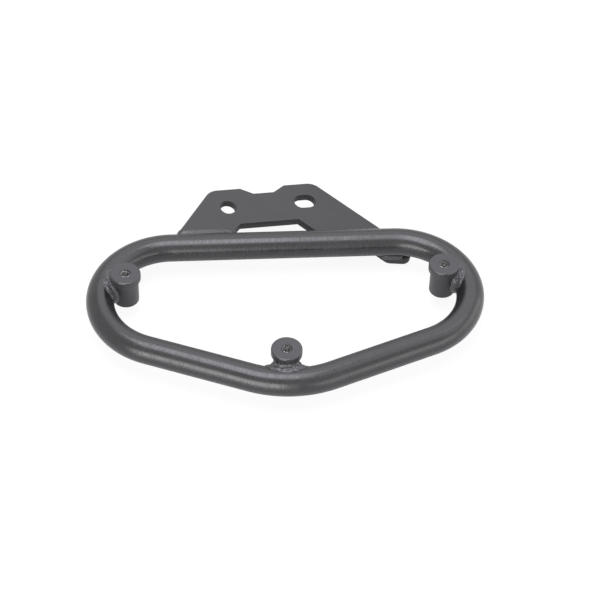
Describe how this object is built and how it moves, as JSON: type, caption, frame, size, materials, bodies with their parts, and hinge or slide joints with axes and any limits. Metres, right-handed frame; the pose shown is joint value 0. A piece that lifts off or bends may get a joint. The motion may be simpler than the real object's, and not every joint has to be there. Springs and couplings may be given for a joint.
{
  "type": "pannier frame",
  "caption": "Rounded triangular loop of bent round tube with flanged threaded bosses inside its bends and a slanted laser-cut plate, to carry a bag at the side of a motorbike.",
  "frame": {"origin": "where the axis of the front boss crosses the middle plane of the tube loop", "axes": "+X along the straight back run of the loop, +Y from the front boss towards the mounting plate, +Z along the boss axes towards the bag"},
  "size_m": [0.2575, 0.1856, 0.0331],
  "materials": {
    "tube_coat": "satin black powder coat on drawn steel tube",
    "plate_coat": "satin black powder coat on laser-cut steel sheet",
    "boss_coat": "satin black powder coat on turned steel, thread left bare",
    "weld_coat": "satin black powder coat over a rough weld bead"
  },
  "bodies": {
    "root": {"frame_tube": "tube_coat", "mounting_plate": "plate_coat", "left_boss": "boss_coat", "right_boss": "boss_coat", "front_boss": "boss_coat", "left_boss_weld": "weld_coat", "right_boss_weld": "weld_coat", "front_boss_weld": "weld_coat", "plate_foot_weld": "weld_coat", "plate_arm_weld": "weld_coat"}
  },
  "joints": []
}
